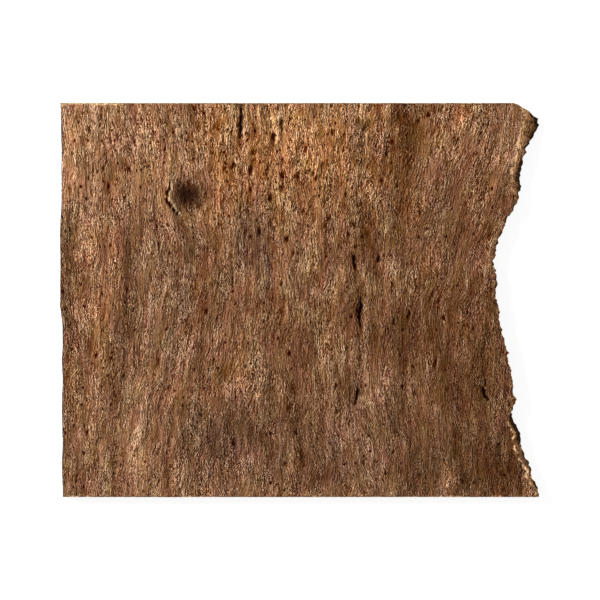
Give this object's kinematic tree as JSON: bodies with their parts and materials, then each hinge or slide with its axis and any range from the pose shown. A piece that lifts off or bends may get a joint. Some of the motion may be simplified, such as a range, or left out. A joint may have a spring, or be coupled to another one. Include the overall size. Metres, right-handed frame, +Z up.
{
  "type": "piece of bark",
  "caption": "Flat piece of cork bark with a grained and pitted inner face, a knot, sawn ends and one torn side, for backing or display.",
  "frame": {"origin": "on the surface that the piece lies on, under the middle of its box", "axes": "+X across the grain towards the torn side, +Y along the grain towards the end with the knot, +Z up out of the inner face"},
  "size_m": [0.305, 0.2504, 0.0195],
  "materials": {
    "bark": "dry, matt, fibrous"
  },
  "bodies": {
    "root": {"bark": "bark"}
  },
  "joints": []
}
